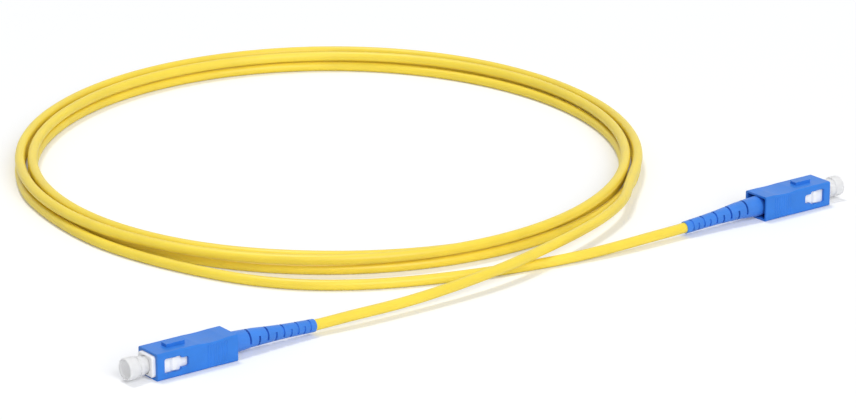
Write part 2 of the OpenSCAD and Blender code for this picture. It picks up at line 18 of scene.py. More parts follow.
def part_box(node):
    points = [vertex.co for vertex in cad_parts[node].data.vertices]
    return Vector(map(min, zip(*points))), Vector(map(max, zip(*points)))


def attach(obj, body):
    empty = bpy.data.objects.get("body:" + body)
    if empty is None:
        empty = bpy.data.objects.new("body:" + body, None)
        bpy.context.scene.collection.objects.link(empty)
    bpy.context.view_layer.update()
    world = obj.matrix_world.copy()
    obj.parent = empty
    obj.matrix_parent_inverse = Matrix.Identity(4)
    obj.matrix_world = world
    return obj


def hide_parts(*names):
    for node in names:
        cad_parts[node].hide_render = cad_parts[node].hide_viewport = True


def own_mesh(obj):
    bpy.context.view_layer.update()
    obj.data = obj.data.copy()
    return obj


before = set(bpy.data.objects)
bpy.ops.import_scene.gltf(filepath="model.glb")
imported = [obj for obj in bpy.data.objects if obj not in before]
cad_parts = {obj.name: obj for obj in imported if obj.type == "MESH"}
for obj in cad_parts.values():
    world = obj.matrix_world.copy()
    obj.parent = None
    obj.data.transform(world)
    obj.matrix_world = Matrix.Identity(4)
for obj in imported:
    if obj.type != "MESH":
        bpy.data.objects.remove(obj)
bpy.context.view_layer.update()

bl_info = {
    "name": "Fibre Patch Cord",
    "version": (1, 0, 0),
    "blender": (4, 5, 0),
    "location": "View3D > Sidebar > Patch Cord",
    "description": "Models a coiled simplex fibre patch cord with a plug on each end",
    "category": "Object",
}

MM = 0.001
ENDS = ("a", "b")
TURN = 2 * math.pi

# The boot runs straight as far as its bend, and its tail hangs from there.
BOOT_BEND = 32.0
BOOT_TAIL = 20.3
BOOT_DROOP = math.radians(3)


# ---------------------------------------------------------------- shared tools


def linear(hex_colour):
    """The linear RGBA of an sRGB colour given as "#RRGGBB"."""
    parts = [int(hex_colour[i : i + 2], 16) / 255 for i in (1, 3, 5)]
    levels = [
        part / 12.92 if part <= 0.04045 else ((part + 0.055) / 1.055) ** 2.4
        for part in parts
    ]
    return (*levels, 1.0)


def plug_place(end):
    """The move from a plug's own axes, in millimetres, to the row frame."""
    grip_lo, grip_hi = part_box(f"grip_{end}")
    ferrule_lo, ferrule_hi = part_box(f"ferrule_{end}")
    axis = (ferrule_lo + ferrule_hi) / 2
    if end == "a":
        return Matrix.Translation((grip_lo.x, axis.y, axis.z)) @ Matrix.Scale(MM, 4)
    about = Matrix.Rotation(math.pi, 4, "Z") @ Matrix.Scale(MM, 4)
    return Matrix.Translation((grip_hi.x, axis.y, axis.z)) @ about


def drooped(x, y, z):
    """A point given from the boot's bend, along its hanging tail, in mm."""
    down = Matrix.Rotation(BOOT_DROOP, 3, "Y")
    return Vector((BOOT_BEND, 0, 0)) + down @ Vector((x, y, z))


def span(part):
    """Lowest and highest corner of a plug's CAD node, on the plug's own axes."""
    back = plug_place("a").inverted()
    lo, hi = [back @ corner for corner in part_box(f"{part}_a")]
    return lo, hi


def add_object(name, data):
    """An object with that data, put in the scene."""
    piece = bpy.data.objects.new(name, data)
    bpy.context.scene.collection.objects.link(piece)
    return piece


def as_mesh(bm, name):
    """The bmesh as a mesh; the bmesh itself is freed."""
    mesh = bpy.data.meshes.new(name)
    bm.to_mesh(mesh)
    bm.free()
    return mesh


def merge_seams(bm):
    """Merges doubles, then sorts all parts along a slanted line.

    Their order would otherwise differ from run to run.
    """
    slant = Vector((1, 0.618, 0.382))

    def along(part):
        return sum(slant.dot(vert.co) for vert in part.verts) / len(part.verts)

    bmesh.ops.remove_doubles(bm, verts=bm.verts[:], dist=1e-4)
    bm.verts.sort(key=lambda vert: slant.dot(vert.co))
    bm.edges.sort(key=along)
    bm.faces.sort(key=along)


def closed(bm):
    """The same shape with its seams merged and its faces pointing outwards."""
    merge_seams(bm)
    bmesh.ops.recalc_face_normals(bm, faces=bm.faces[:])
    return bm


def turn_about(bm, axis, angle):
    """Turns a shape about one of the plug's axes."""
    matrix = Matrix.Rotation(angle, 3, axis)
    bmesh.ops.rotate(bm, verts=bm.verts[:], cent=(0, 0, 0), matrix=matrix)


def round_edges(bm, edges, width, segments):
    """Rounds the edges, out to that width from each."""
    bmesh.ops.bevel(
        bm,
        geom=edges,
        offset=width,
        segments=segments,
        profile=0.5,
        affect="EDGES",
        clamp_overlap=True,
        material=-1,
    )


def rounded(corners, steps=4):
    """The line through (x, r, reach) corners, each one turned into a curve.

    The curve starts and ends that reach from the corner; a reach of 0 keeps it.
    """
    line = []
    last = len(corners) - 1
    for i, (x, r, reach) in enumerate(corners):
        here = Vector((x, r))
        if reach == 0 or i in (0, last):
            line.append(here)
            continue
        before = (Vector(corners[i - 1][:2]) - here).normalized() * reach
        after = (Vector(corners[i + 1][:2]) - here).normalized() * reach
        for k in range(steps + 1):
            t = k / steps
            line.append(here + before * (1 - t) ** 2 + after * t**2)
    return line


def turned(profile, steps=64):
    """A solid of revolution about X, from the (x, r) line of its section."""
    bm = bmesh.new()
    verts = [bm.verts.new((x, 0, r)) for x, r in profile]
    edges = [bm.edges.new(pair) for pair in zip(verts, verts[1:])]
    bmesh.ops.spin(
        bm,
        geom=verts + edges,
        cent=(0, 0, 0),
        axis=(1, 0, 0),
        angle=TURN,
        steps=steps,
        use_merge=True,
    )
    return closed(bm)


def rod(x0, x1, radius):
    """A straight round rod along X."""
    return turned([(x0, 0), (x0, radius), (x1, radius), (x1, 0)])


def block(lo, hi):
    """A box given by its lowest and highest corners."""
    lo, hi = Vector(lo), Vector(hi)
    bm = bmesh.new()
    shape = Matrix.Translation((lo + hi) / 2) @ Matrix.Diagonal((*(hi - lo), 1))
    bmesh.ops.create_cube(bm, size=1, matrix=shape)
    return bm


def bar(x0, x1, width, height, corner):
    """A box along X whose four long edges are rounded."""
    bm = block((x0, -width / 2, -height / 2), (x1, width / 2, height / 2))
    long_edges = [
        edge
        for edge in bm.edges
        if abs(edge.verts[0].co.x - edge.verts[1].co.x) > (x1 - x0) / 2
    ]
    round_edges(bm, long_edges, corner, 6)
    return bm


def plate(outline, low, high, across="Z"):
    """An outline of (x, side) points with a thickness from low to high.

    Across "Z" the outline lies in X and Y; across "Y" it lies in X and Z.
    """
    bm = bmesh.new()
    face = bm.faces.new([bm.verts.new((x, side, low)) for x, side in outline])
    made = bmesh.ops.extrude_face_region(bm, geom=[face])
    moved = [v for v in made["geom"] if isinstance(v, bmesh.types.BMVert)]
    bmesh.ops.translate(bm, verts=moved, vec=(0, 0, high - low))
    if across == "Y":
        turn_about(bm, "X", TURN / 4)
    return closed(bm)


def together(shapes):
    """Solids that don't touch, as one bmesh."""
    whole = bmesh.new()
    for shape in shapes:
        mesh = as_mesh(shape, "work")
        whole.from_mesh(mesh)
        bpy.data.meshes.remove(mesh)
    return whole


def combined(base, other, operation):
    """The solid base after a UNION with other, or the DIFFERENCE of the two."""
    made = [add_object("work", as_mesh(bm, "work")) for bm in (base, other)]
    modifier = made[0].modifiers.new("work", "BOOLEAN")
    modifier.object = made[1]
    modifier.operation = operation
    modifier.solver = "EXACT"
    result = bmesh.new()
    result.from_object(made[0], bpy.context.evaluated_depsgraph_get())
    for piece in made:
        bpy.data.meshes.remove(piece.data)
    merge_seams(result)
    bmesh.ops.dissolve_limit(
        result,
        angle_limit=math.radians(0.2),
        verts=result.verts[:],
        edges=result.edges[:],
    )
    return result


def carved(base, *cutters):
    """The solid base with each cutter taken out of it."""
    for cutter in cutters:
        base = combined(base, cutter, "DIFFERENCE")
    return base


def soften(bm, width, sharpness, chosen, segments=3):
    """Rounds the edges that turn by more than sharpness degrees.

    Only those whose middle is chosen are rounded.
    """
    edges = [
        edge
        for edge in bm.edges
        if len(edge.link_faces) == 2
        and edge.calc_face_angle(0) > math.radians(sharpness)
        and chosen((edge.verts[0].co + edge.verts[1].co) / 2)
    ]
    round_edges(bm, edges, width, segments)


def tube(points, diameter, resolution, name):
    """A round tube along a line of points, as a mesh with UVs that follow it."""
    line = bpy.data.curves.new(name, "CURVE")
    line.dimensions = "3D"
    line.bevel_depth = diameter / 2
    line.bevel_resolution = resolution
    line.use_fill_caps = True
    spline = line.splines.new("POLY")
    spline.points.add(len(points) - 1)
    for place, point in zip(spline.points, points):
        place.co = (*point, 1)
    carrier = bpy.data.objects.new(name, line)
    mesh = bpy.data.meshes.new_from_object(carrier)
    bpy.data.objects.remove(carrier)
    bpy.data.curves.remove(line)
    return mesh


def shade(mesh):
    """Smooth shading, with a sharp line where faces meet at a clear angle."""
    mesh.shade_smooth()
    mesh.set_sharp_from_angle(angle=math.radians(50))


def place(shape, material, name, node, body, slot, flat_faces=True):
    """Puts a copy of one plug piece at each end of the cord.

    Flat faces keep their flat look beside rounded edges; round pieces need none.
    """
    pieces = []
    for end in ENDS:
        bm = shape.copy()
        bm.transform(plug_place(end))
        mesh = as_mesh(bm, f"{name}_{end}")
        shade(mesh)
        mesh.materials.append(material)
        piece = add_object(f"{name}_{end}", mesh)
        if flat_faces:
            even = piece.modifiers.new("even_faces", "WEIGHTED_NORMAL")
            even.keep_sharp = True
        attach(piece, body.format(end=end))
        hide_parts(f"{node}_{end}")
        pieces.append(piece)
    shape.free()
    return pieces


def carry(node, material):
    """Gives a CAD node of both plugs its material."""
    for end in ENDS:
        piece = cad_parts[f"{node}_{end}"]
        if not piece.material_slots:
            piece.data.materials.append(material)
        for slot in piece.material_slots:
            slot.link = "OBJECT"
            slot.material = material


# ---------------------------------------------------------------- settings


class JacketSettings(PropertyGroup):
    """The cord's jacket."""

    diameter: FloatProperty(
        name="Diameter",
        description="Outer diameter of the jacket",
        default=3.0 * MM, min=2.8 * MM, max=3.0 * MM, precision=4, unit="LENGTH",
    )
    span_steps: IntProperty(
        name="Steps per span",
        description="Rings between two points of the route where the cord is free",
        default=8, min=2, max=16,
    )
    turn_steps: IntProperty(
        name="Steps per turn",
        description="Rings in one turn of the coil",
        default=360, min=48, max=720,
    )
    colour: FloatVectorProperty(
        name="Colour",
        description="Colour of the jacket",
        default=linear("#F5DB48"), size=4, subtype="COLOR",
    )


class PlugSettings(PropertyGroup):
    """The two plugs, their boots and their caps."""

    edge: FloatProperty(
        name="Edge rounding",
        description="Rounding of the grip's outer edges",
        default=0.18 * MM, min=0.05 * MM, max=0.25 * MM, precision=5, unit="LENGTH",
    )
    grooves: IntProperty(
        name="Grooves",
        description="Fine grooves on each side of the grip",
        default=8, min=1, max=9,
    )
    slits: IntProperty(
        name="Slits",
        description="Flex slits along the boot",
        default=9, min=1, max=9,
    )
    grip_colour: FloatVectorProperty(
        name="Grip colour",
        description="Colour of the moulded grip",
        default=linear("#317FDE"), size=4, subtype="COLOR",
    )
    boot_colour: FloatVectorProperty(
        name="Boot colour",
        description="Colour of the flexible boot",
        default=linear("#347FDF"), size=4, subtype="COLOR",
    )


class StageSettings(PropertyGroup):
    """The camera, the floor and the light."""

    azimuth: FloatProperty(
        name="Azimuth",
        description="Direction that the camera looks in, from +Y round towards -X",
        default=math.radians(-37), subtype="ANGLE",
    )
    elevation: FloatProperty(
        name="Elevation",
        description="Height of the camera above the horizon",
        default=math.radians(18.5), subtype="ANGLE",
    )
    distance: FloatProperty(
        name="Distance",
        description="Distance from the camera to what it looks at",
        default=1.1, unit="LENGTH",
    )
    target: FloatVectorProperty(
        name="Target",
        description="Point on the floor that the camera looks at",
        default=(0.0215, 0.0642, 0.0), size=3, subtype="TRANSLATION",
    )
    lens: FloatProperty(
        name="Focal length",
        description="Focal length of the lens, in millimetres",
        default=158.2, subtype="DISTANCE_CAMERA",
    )
    floor_size: FloatProperty(
        name="Floor size",
        description="Side of the square floor",
        default=8.0, unit="LENGTH",
    )
    sky_level: FloatProperty(
        name="Sky level",
        description="How much of the light comes evenly from all round",
        default=0.33, subtype="FACTOR",
    )
    front_level: FloatProperty(
        name="Front level",
        description="How much of the light comes from the large lamp in front",
        default=0.33, subtype="FACTOR",
    )
    top_level: FloatProperty(
        name="Top level",
        description="How much of the light comes from the lamp above",
        default=0.34, subtype="FACTOR",
    )


# ---------------------------------------------------------------- materials

# Most of a noise lies in this part of its range.
NOISE_REACH = {"From Min": 0.3, "From Max": 0.7}


def add_node(tree, kind, settings=None, links=None):
    """Adds a shader node; a setting is an input by name or number, or a field."""
    node = tree.nodes.new("ShaderNode" + kind)
    for key, value in (settings or {}).items():
        if isinstance(key, int) or key in node.inputs:
            node.inputs[key].default_value = value
        else:
            setattr(node, key, value)
    for key, output in (links or {}).items():
        tree.links.new(output, node.inputs[key])
    return node


def empty_tree(owner):
    """The node tree of a material or a world, with nothing in it."""
    owner.use_nodes = True
    owner.node_tree.nodes.clear()
    return owner.node_tree


def per_mm(size_mm):
    """The scale of a noise whose features are that many mm wide.

    A wave's bands at that scale lie closer, at 0.3 of that size.
    """
    return 1 / (size_mm * MM)


def start_material(name, settings):
    """A material with one Principled shader, and what its pattern is made with.

    These are its node tree, that shader and the place on the object.
    """
    material = bpy.data.materials.new(name)
    tree = empty_tree(material)
    shader = add_node(tree, "BsdfPrincipled", settings)
    add_node(tree, "OutputMaterial", links={"Surface": shader.outputs["BSDF"]})
    return material, tree, shader, object_space(tree)


def object_space(tree):
    """The object's own coordinates, which are the row frame in metres."""
    return add_node(tree, "TexCoord").outputs["Object"]


def clouded(tree, shader, vector, size_mm, colours):
    """Soft clouds between two colours on the shader's base colour."""
    noise = add_node(
        tree,
        "TexNoise",
        {"Scale": per_mm(size_mm), "Detail": 3.0, "Roughness": 0.55},
        {"Vector": vector},
    )
    spread = add_node(tree, "MapRange", NOISE_REACH, {"Value": noise.outputs["Fac"]})
    mix = add_node(
        tree,
        "Mix",
        {"data_type": "RGBA", 6: colours[0], 7: colours[1]},
        {"Factor": spread.outputs["Result"]},
    )
    tree.links.new(mix.outputs[2], shader.inputs["Base Color"])
    return noise.outputs["Fac"]


def roughened(tree, shader, fac, low, high):
    """Roughness that runs from low to high with a pattern."""
    spread = add_node(
        tree, "MapRange", {**NOISE_REACH, "To Min": low, "To Max": high}, {"Value": fac}
    )
    tree.links.new(spread.outputs["Result"], shader.inputs["Roughness"])


def raised(tree, shader, heights):
    """Bumps on the shader: (height output, depth in mm) pairs, laid on each other."""
    normal = None
    for height, depth_mm in heights:
        links = {"Height": height}
        if normal is not None:
            links["Normal"] = normal
        bump = add_node(
            tree, "Bump", {"Strength": 1.0, "Distance": depth_mm * MM}, links
        )
        normal = bump.outputs["Normal"]
    tree.links.new(normal, shader.inputs["Normal"])


def shifted(colour, factor):
    """The colour made darker or lighter by that factor."""
    return (*[min(1.0, part * factor) for part in colour[:3]], 1.0)


def jacket_material(colour, diameter):
    """Halogen-free polyolefin cable jacket, extruded.

    The die leaves a satin skin with very fine lines along the cord, which
    draws a long soft highlight. The colour is even, a little cloudy, and light
    soaks a little way in, which keeps the shaded side warm.
    The lines are drawn 0.25 mm wide, coarser than real, so that they show.
    """
    material, tree, shader, where = start_material(
        "extruded_polyolefin_jacket",
        {
            "IOR": 1.49,
            "Subsurface Weight": 0.35,
            "Subsurface Scale": 1.0 * MM,
            "Subsurface Radius": (1.0, 0.95, 0.5),
        },
    )
    uv = add_node(tree, "UVMap").outputs["UV"]
    parts = add_node(tree, "SeparateXYZ", links={"Vector": uv})
    turn = add_node(
        tree, "Math", {"operation": "MULTIPLY", 1: TURN}, {0: parts.outputs["X"]}
    )
    round_x, round_y = (
        add_node(tree, "Math", {"operation": way}, {0: turn.outputs[0]})
        for way in ("COSINE", "SINE")
    )
    ring = add_node(
        tree,
        "CombineXYZ",
        links={0: round_x.outputs[0], 1: round_y.outputs[0], 2: parts.outputs["Y"]},
    )
    cord_length_mm, line_length_mm, line_width_mm = 2600, 60, 0.25
    across = diameter / 2 / MM / line_width_mm
    along = add_node(
        tree,
        "Mapping",
        {"Scale": (across, across, cord_length_mm / line_length_mm)},
        {"Vector": ring.outputs[0]},
    )
    lines = add_node(
        tree, "TexNoise", {"Scale": 1.0, "Detail": 2.0}, {"Vector": along.outputs[0]}
    )
    clouds = clouded(
        tree, shader, where, 14.0, (shifted(colour, 0.95), shifted(colour, 1.04))
    )
    roughened(tree, shader, clouds, 0.36, 0.46)
    peel = add_node(
        tree, "TexNoise", {"Scale": per_mm(0.5), "Detail": 2.0}, {"Vector": where}
    )
    raised(tree, shader, [(lines.outputs["Fac"], 0.012), (peel.outputs["Fac"], 0.006)])
    return material


def moulded_material(name, colour, roughness, grain_mm, depth_mm, settings=None):
    """A matt moulded skin: clouds of colour over a fine spark-eroded grain."""
    settings = {"IOR": 1.52, **(settings or {})}
    material, tree, shader, where = start_material(name, settings)
    clouds = clouded(
        tree, shader, where, 5.0, (shifted(colour, 0.93), shifted(colour, 1.06))
    )
    roughened(tree, shader, clouds, roughness - 0.05, roughness + 0.05)
    grain = add_node(
        tree,
        "TexNoise",
        {"Scale": per_mm(grain_mm), "Detail": 4.0, "Roughness": 0.6},
        {"Vector": where},
    )
    raised(tree, shader, [(grain.outputs["Fac"], depth_mm)])
    return material


def grip_material(colour):
    """Polybutylene terephthalate (PBT), injection moulded in a sparked tool.

    The fine grain of the tool breaks the gloss, so flat faces show a soft sheen
    and only the edges catch the light. Grain drawn 0.12 mm, three times real.
    """
    return moulded_material(
        "moulded_pbt_blue", colour, 0.42, 0.12, 0.006, {"Specular IOR Level": 0.3}
    )


def boot_material(colour):
    """Thermoplastic elastomer, injection moulded.

    Softer and duller than the grip, with a faint waxy sheen at the edges.
    """
    return moulded_material(
        "moulded_elastomer_blue",
        colour,
        0.48,
        0.2,
        0.008,
        {"Sheen Weight": 0.15, "Sheen Roughness": 0.4},
    )


def frame_material():
    """PBT with glass fibre, natural white, injection moulded.

    Bright and opaque, with a weak milky depth and a slightly dull skin.
    """
    return moulded_material(
        "moulded_pbt_white",
        linear("#F6F6F7"),
        0.42,
        0.15,
        0.005,
        {
            "Subsurface Weight": 0.1,
            "Subsurface Scale": 0.4 * MM,
            "Subsurface Radius": (1.0, 1.0, 1.0),
        },
    )


def cap_material():
    """Low-density polyethylene, injection moulded, natural.

    Milky and see-through: light goes in and scatters, so rims and thick
    parts look greyer than thin walls, under a waxy half-gloss skin.
    """
    material, tree, shader, where = start_material(
        "moulded_polyethylene_clear",
        {
            "IOR": 1.51,
            "Transmission Weight": 0.2,
            "Roughness": 0.32,
            "Subsurface Weight": 0.8,
            "Subsurface Scale": 1.5 * MM,
            "Subsurface Radius": (1.0, 1.0, 1.0),
        },
    )
    clouds = clouded(tree, shader, where, 2.5, (linear("#F3F3F6"), linear("#FCFCFE")))
    raised(tree, shader, [(clouds, 0.02)])
    return material


def ceramic_material():
    """Zirconia, sintered, then ground and polished.

    Dense warm white with a glassy gloss, and fine rings from the grinding wheel,
    drawn 0.6 mm apart, coarser than real, so that they show.
    """
    material, tree, shader, where = start_material(
        "polished_zirconia", {"IOR": 2.1, "Specular IOR Level": 0.5, "Coat Weight": 0.3}
    )
    clouds = clouded(tree, shader, where, 1.2, (linear("#EDEAE2"), linear("#F7F5EF")))
    roughened(tree, shader, clouds, 0.12, 0.18)
    rings = add_node(
        tree,
        "TexWave",
        {"bands_direction": "X", "Scale": per_mm(2.0), "Distortion": 0.6},
        {"Vector": where},
    )
    raised(tree, shader, [(rings.outputs["Fac"], 0.001)])
    return material


def metal_material(name, dark, light, roughness, line_mm):
    """A turned or drawn metal with fine tool lines across the plug's axis.

    They are drawn 0.13 to 0.19 mm apart, coarser than real, so that they show.
    """
    material, tree, shader, where = start_material(name, {"Metallic": 1.0})
    clouds = clouded(tree, shader, where, 1.5, (linear(dark), linear(light)))
    roughened(tree, shader, clouds, roughness - 0.05, roughness + 0.07)
    lines = add_node(
        tree,
        "TexWave",
        {"bands_direction": "X", "Scale": per_mm(line_mm), "Distortion": 2.0},
        {"Vector": where},
    )
    raised(tree, shader, [(lines.outputs["Fac"], 0.003)])
    return material


def nickel_material():
    """Brass, turned and nickel plated: warm grey, with rings from the lathe."""
    return metal_material("nickel_plated_brass", "#B4B0A6", "#D2CFC6", 0.25, 0.5)


def spring_material():
    """Stainless spring wire, drawn and coiled: bright, with drawn lines."""
    return metal_material("drawn_stainless_wire", "#A8ABAE", "#C9CCCE", 0.22, 0.4)


def sleeve_material():
    """Copper alloy tube, drawn and annealed so that it crimps: soft and dull."""
    return metal_material("annealed_copper_alloy", "#B07C52", "#CF9C70", 0.34, 0.6)


def yarn_material():
    """Aramid yarn, laid flat round the neck: silky straw-yellow filaments.

    A bundle of filaments is drawn 0.15 mm wide, coarser than the real fibre.
    """
    material, tree, shader, where = start_material(
        "laid_aramid_yarn",
        {"IOR": 1.6, "Roughness": 0.6, "Sheen Weight": 0.4, "Sheen Roughness": 0.3},
    )
    stretched = add_node(tree, "Mapping", {"Scale": (0.05, 1, 1)}, {"Vector": where})
    colours = (linear("#B9962F"), linear("#EBD57A"))
    fibres = clouded(tree, shader, stretched.outputs[0], 0.15, colours)
    raised(tree, shader, [(fibres, 0.04)])
    return material


def buffer_material():
    """Tight polyester buffer on the fibre, extruded: even matt white."""
    return moulded_material(
        "extruded_polyester_buffer", linear("#EDEDE6"), 0.5, 0.3, 0.003
    )


def guide_material():
    """Fluoropolymer tube, extruded: waxy, slightly see-through and slippery."""
    return moulded_material(
        "extruded_fluoropolymer_tube",
        linear("#DDE2DE"),
        0.3,
        0.4,
        0.003,
        {"Transmission Weight": 0.35},
    )


def fibre_material():
    """Fused silica fibre, drawn: clear glass with a fire-polished skin."""
    material, tree, shader, where = start_material(
        "drawn_silica_fibre",
        {"IOR": 1.458, "Transmission Weight": 0.9, "Roughness": 0.03},
    )
    clouded(tree, shader, where, 0.5, (linear("#E8F1F6"), linear("#F4F9FC")))
    return material


def floor_material():
    """Matt white paper sweep.

    What the camera sees of it is lifted a little, so that it reads as white
    and still takes the shadow; the light that it sends on is plain grey-white.
    """
    material = bpy.data.materials.new("matt_white_paper")
    tree = empty_tree(material)
    noise = add_node(
        tree,
        "TexNoise",
        {"Scale": per_mm(0.8), "Detail": 4.0},
        {"Vector": object_space(tree)},
    )
    bump = add_node(
        tree,
        "Bump",
        {"Strength": 0.3, "Distance": 0.02 * MM},
        {"Height": noise.outputs["Fac"]},
    )
    paper = add_node(
        tree,
        "BsdfDiffuse",
        {"Color": linear("#F5F6F8")},
        {"Normal": bump.outputs["Normal"]},
    )
    lift = add_node(tree, "Emission", {"Color": linear("#FFFFFF"), "Strength": 0.13})
    seen = add_node(
        tree, "AddShader", links={0: paper.outputs["BSDF"], 1: lift.outputs["Emission"]}
    )
    ray = add_node(tree, "LightPath")
    chosen = add_node(
        tree,
        "MixShader",
        links={
            "Fac": ray.outputs["Is Camera Ray"],
            1: paper.outputs["BSDF"],
            2: seen.outputs["Shader"],
        },
    )
    add_node(tree, "OutputMaterial", links={"Surface": chosen.outputs["Shader"]})
    return material


# ---------------------------------------------------------------- the cord's route

# The coil's cord follows an ellipse of this size, turned on the table. Winding
# angles are in degrees. It drops a layer over COIL_DROP_SPAN from COIL_DROP on,
# and COIL_BLEND is how far to each side its insets are blended.
COIL_CENTRE = Vector((0.025, 0.1185, 0))
COIL_SHORT_R = 0.094
COIL_LONG_R = 0.1055
COIL_TURN = math.radians(-37)
TURN_GAP = 0.00045
COIL_START = -15
COIL_END = 1275
COIL_DROP = 620
COIL_DROP_SPAN = 80
COIL_BLEND = 15
RELAX_PASSES = 26

# At each winding angle, how far the cord lies inside that ellipse.
COIL_INSETS = (
    (-15, 0.0), (0, 0.0006), (30, 0.0018), (50, 0.0018),
    (90, -0.0003), (135, -0.0003), (180, 0.0004), (225, 0.0009),
    (270, 0.0015), (300, 0.002), (330, 0.003), (345, 0.0037),
    (360, 0.0043), (390, 0.0055), (405, 0.0058), (450, 0.0064),
    (495, 0.0052), (540, 0.0041), (585, 0.0046), (615, 0.005),
    (645, 0.0055), (660, 0.0059), (675, 0.0056), (690, 0.0051),
    (705, 0.0045), (720, 0.0044), (750, 0.0064), (770, 0.0076),
    (790, 0.0073), (810, 0.0064), (840, 0.0049), (870, 0.0041),
    (900, 0.0042), (945, 0.0041), (990, 0.0035), (1020, 0.0026),
    (1050, 0.0012), (1080, 0.0007), (1125, 0.0012), (1170, 0.0006),
    (1215, 0.0003), (1260, 0.0004), (1275, 0.0003),
)

# The free stretches, from boot A to the coil and from the coil to boot B.
LEAD_A_ROUTE = (
    (-0.054, -0.002, 0.0032), (-0.040, -0.0024, 0.0031), (-0.026, -0.0022, 0.0036),
    (-0.014, -0.0016, 0.0043), (-0.003, -0.0005, 0.0049), (0.007, 0.0016, 0.0052),
    (0.017, 0.0046, 0.0052), (0.028, 0.0083, 0.0051), (0.039, 0.0124, 0.005),
    (0.0496, 0.0171, 0.005), (0.058, 0.0219, 0.005), (0.066, 0.0274, 0.005),
)
LEAD_B_ROUTE = (
    (-0.0696, 0.133, 0.0015), (-0.0714, 0.124, 0.0015), (-0.0727, 0.114, 0.0015),
    (-0.0734, 0.104, 0.0015), (-0.0733, 0.095, 0.0015), (-0.0724, 0.086, 0.0015),
    (-0.0704, 0.076, 0.0015), (-0.0676, 0.066, 0.0015), (-0.064, 0.056, 0.0015),
    (-0.0596, 0.046, 0.0015), (-0.054, 0.037, 0.0015), (-0.047, 0.029, 0.0015),
    (-0.038, 0.022, 0.0015), (-0.028, 0.0164, 0.0015), (-0.017, 0.012, 0.0015),
    (-0.006, 0.0086, 0.0015), (0.004, 0.0062, 0.0015), (0.014, 0.0042, 0.0015),
    (0.024, 0.0026, 0.0016), (0.034, 0.0014, 0.0019), (0.044, 0.0008, 0.0023),
    (0.054, 0.0009, 0.0025),
)


def coil_inset(angle):
    """How far the cord lies inside the outermost ellipse at that winding angle."""

    def listed(at):
        at = min(max(at, COIL_START), COIL_END)
        for (a0, inset0), (a1, inset1) in zip(COIL_INSETS, COIL_INSETS[1:]):
            if at <= a1:
                return inset0 + (inset1 - inset0) * (at - a0) / (a1 - a0)

    either_side = listed(angle - COIL_BLEND) + listed(angle + COIL_BLEND)
    return (either_side + 2 * listed(angle)) / 4


def coil_point(angle, diameter):
    """Where the cord's centre is at that winding angle, in degrees.

    The first turn and three quarters lie on top; then the coil drops a layer at
    its near side, and it ends on the floor.
    """
    dropped = min(1, max(0, (angle - COIL_DROP) / COIL_DROP_SPAN))
    layer = 1 - dropped * dropped * (3 - 2 * dropped)
    inset = coil_inset(angle)
    turn = math.radians(angle)
    short, long = COIL_SHORT_R - inset, COIL_LONG_R - inset
    flat = Vector((short * math.cos(turn), long * math.sin(turn)))
    flat.rotate(Matrix.Rotation(COIL_TURN, 2))
    height = diameter / 2 + (diameter + TURN_GAP) * layer
    return COIL_CENTRE + Vector((flat.x, flat.y, height))


def smooth_line(points, steps):
    """A smooth curve (Catmull-Rom) through the points, each span cut into steps."""
    line = []
    last = len(points) - 1
    for i in range(last):
        p0, p1 = points[max(i - 1, 0)], points[i]
        p2, p3 = points[i + 1], points[min(i + 2, last)]
        for k in range(steps):
            s = k / steps
            bend = (2 * p0 - 5 * p1 + 4 * p2 - p3) * s**2
            twist = (3 * p1 - p0 - 3 * p2 + p3) * s**3
            line.append(0.5 * (2 * p1 + (p2 - p0) * s + bend + twist))
    return [*line, points[last]]


def relaxed(points):
    """The line with each point drawn between its neighbours a few times."""
    for _ in range(RELAX_PASSES):
        inner = [
            (before + 2 * here + after) / 4
            for before, here, after in zip(points, points[1:], points[2:])
        ]
        points = [points[0], *inner, points[-1]]
    return points


def cord_line(settings):
    """The cord's whole centreline, from boot A's tip round to boot B's tip."""
    d = settings.diameter
    tip = drooped(BOOT_TAIL, 0, 0)
    past_tip = drooped(BOOT_TAIL + d / MM, 0, 0)
    tip_a, tip_b = (plug_place(end) @ tip for end in ENDS)
    past_a, past_b = (plug_place(end) @ past_tip for end in ENDS)
    coil_in = coil_point(COIL_START, d)
    coil_out = coil_point(COIL_END, d)
    heading_in = (coil_point(COIL_START + 2, d) - coil_in).normalized() * d
    heading_out = (coil_out - coil_point(COIL_END - 2, d)).normalized() * d
    lead_a = smooth_line(
        [past_a, *map(Vector, LEAD_A_ROUTE), coil_in - 3 * heading_in],
        settings.span_steps,
    )
    turns = (COIL_END - COIL_START) / 360
    count = round(settings.turn_steps * turns)
    coil = [
        coil_point(COIL_START + (COIL_END - COIL_START) * i / count, d)
        for i in range(count + 1)
    ]
    lead_b = smooth_line(
        [coil_out + 3 * heading_out, *map(Vector, LEAD_B_ROUTE), past_b],
        settings.span_steps,
    )
    way_in = [coil_in - 2 * heading_in, coil_in - heading_in]
    way_out = [coil_out + heading_out, coil_out + 2 * heading_out]
    return relaxed([tip_a, *lead_a, *way_in, *coil, *way_out, *lead_b, tip_b])


# ---------------------------------------------------------------- plug shapes, in mm

# LAP is how far shapes that meet run into each other, and PAST how far a
# cutter runs out of what it cuts.
LAP = 0.1
PAST = 1.0
RUNNING = 0.1
SLIDE_PLAY = 0.3
FRAME_W, FRAME_H, FRAME_CORNER = 6.8, 5.8, 0.9
TAIL_W, TAIL_H, TAIL_CORNER = 6.0, 5.2, 0.5
FRAME_STEP = 12.0
WINDOW_FRONT, WINDOW_REAR, WINDOW_STEP = 2.2, 7.5, 9.7
GRIP_TRAVEL = 2.0
DISH_FRONT, DISH_REAR, DISH_DEPTH = 12.8, 21.5, 0.25
SLEEVE_BORE_END = 3.2
COLLAR_FRONT = 4.5


